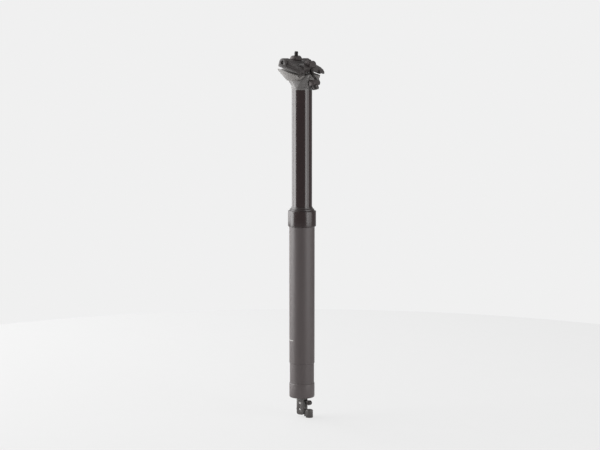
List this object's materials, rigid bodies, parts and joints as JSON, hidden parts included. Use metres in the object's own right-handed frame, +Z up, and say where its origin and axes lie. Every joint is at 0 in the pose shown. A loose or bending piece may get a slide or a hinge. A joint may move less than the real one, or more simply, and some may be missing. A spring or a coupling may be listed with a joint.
{
  "type": "dropper seatpost",
  "caption": "Bicycle dropper seatpost: sprung sliding upper tube with a tilting saddle clamp and a cable lever.",
  "frame": {"origin": "centre of the collar's underside, where the frame's seat tube ends", "axes": "+X forward, towards the saddle's nose; +Y to the rider's left; +Z up the post"},
  "size_m": [0.0419, 0.054, 0.4562],
  "materials": {
    "blasted_black": "satin blasted black anodising",
    "gloss_black": "gloss black anodising",
    "forged_black": "matte black over forged aluminium",
    "clamp_black": "matte black anodising",
    "seal_rubber": "black rubber",
    "foam": "oiled foam",
    "bush_plastic": "bearing plastic",
    "ground_steel": "ground steel",
    "bare_aluminium": "bare turned aluminium",
    "zinc_steel": "zinc-plated steel",
    "actuator_grey": "dark grey anodising",
    "black_steel": "blackened steel",
    "barrel_grey": "dark grey anodising",
    "spring_steel": "spring steel",
    "key_brass": "brass"
  },
  "bodies": {
    "lower_post": {"lower_tube": "blasted_black", "seal_collar": "gloss_black", "wiper_seal": "seal_rubber", "foam_ring": "foam", "upper_bush": "bush_plastic", "topout_ring": "seal_rubber", "base_cap": "blasted_black", "bottom_bumper": "seal_rubber", "gas_rod": "ground_steel", "gas_piston": "bare_aluminium", "gas_piston_seal": "seal_rubber", "actuator_jam_nut": "zinc_steel", "actuator_bracket": "actuator_grey", "lever_pivot_pin": "ground_steel", "housing_stop": "actuator_grey", "stop_pin": "ground_steel", "stop_lock_screw": "black_steel", "lever_return_spring": "spring_steel"},
    "upper_post": {"stanchion": "gloss_black", "post_head": "forged_black", "anti_rotation_keys": "key_brass", "lower_guide_ring": "bush_plastic", "cartridge_retaining_nut": "bare_aluminium", "gas_cylinder": "bare_aluminium", "rod_gland": "bare_aluminium", "rod_seal": "seal_rubber", "cylinder_plug": "bare_aluminium", "gas_fill_valve": "key_brass"},
    "valve": {"valve_pin": "ground_steel"},
    "gas_floater": {"floating_piston": "bare_aluminium", "floating_piston_seal": "seal_rubber"},
    "saddle_clamp": {"lower_cradle": "clamp_black", "upper_clamp": "clamp_black"},
    "front_bolt_set": {"front_bolt": "black_steel", "front_barrel_washer": "barrel_grey"},
    "rear_bolt_set": {"rear_bolt": "black_steel", "rear_barrel_washer": "barrel_grey"},
    "front_nut": {"front_barrel_nut": "barrel_grey"},
    "rear_nut": {"rear_barrel_nut": "barrel_grey"},
    "lever": {"actuator_lever": "actuator_grey"},
    "cable_anchor": {"cable_barrel": "barrel_grey", "cable_pinch_screw": "black_steel"}
  },
  "joints": [
    {"name": "post_slide", "type": "slide", "parent": "lower_post", "child": "upper_post", "axis": [0, 0, 1], "range_m": [-0.14, 0], "stiffness_N_per_m": 300, "springref_m": 0.85},
    {"name": "floating_piston_slide", "type": "slide", "parent": "upper_post", "child": "gas_floater", "axis": [0, 0, 1], "range_m": [0, 0.0277]},
    {"name": "clamp_tilt", "type": "hinge", "parent": "upper_post", "child": "saddle_clamp", "pos_m": [0, 0, 0.1985], "axis": [0, 1, 0], "range_deg": [-8, 8]},
    {"name": "front_bolt_swing", "type": "hinge", "parent": "upper_post", "child": "front_bolt_set", "pos_m": [0.0181, 0, 0.1779], "axis": [0, 1, 0], "range_deg": [-1, 1]},
    {"name": "rear_bolt_swing", "type": "hinge", "parent": "upper_post", "child": "rear_bolt_set", "pos_m": [-0.011, 0, 0.1779], "axis": [0, 1, 0], "range_deg": [-2.5, 2.5]},
    {"name": "front_nut_swivel", "type": "hinge", "parent": "saddle_clamp", "child": "front_nut", "pos_m": [0.01204, 0, 0.20026], "axis": [0, 1, 0], "range_deg": [-9, 9]},
    {"name": "rear_nut_swivel", "type": "hinge", "parent": "saddle_clamp", "child": "rear_nut", "pos_m": [-0.009, 0, 0.20669], "axis": [0, 1, 0], "range_deg": [-9, 9]},
    {"name": "lever_pull", "type": "hinge", "parent": "lower_post", "child": "lever", "pos_m": [0, 0, -0.2222], "axis": [0, 1, 0], "range_deg": [0, 25], "deforming": ["lever_return_spring"]},
    {"name": "valve_slide", "type": "slide", "parent": "lower_post", "child": "valve", "axis": [0, 0, 1], "range_m": [0, 0.0012], "stiffness_N_per_m": 100, "springref_m": -0.005},
    {"name": "anchor_swivel", "type": "hinge", "parent": "lever", "child": "cable_anchor", "pos_m": [0.0112, 0, -0.2215], "axis": [0, 1, 0], "range_deg": [-25, 0]}
  ],
  "couplings": [
    {"joint": "floating_piston_slide", "follows": "post_slide", "ratio": -0.19753},
    {"joint": "front_bolt_swing", "follows": "clamp_tilt", "ratio": -0.066},
    {"joint": "rear_bolt_swing", "follows": "clamp_tilt", "ratio": 0.261},
    {"joint": "front_nut_swivel", "follows": "clamp_tilt", "ratio": -1.066},
    {"joint": "rear_nut_swivel", "follows": "clamp_tilt", "ratio": -0.739},
    {"joint": "lever_pull", "follows": "valve_slide", "rad_per_m": 363.61},
    {"joint": "anchor_swivel", "follows": "valve_slide", "rad_per_m": -363.61}
  ]
}
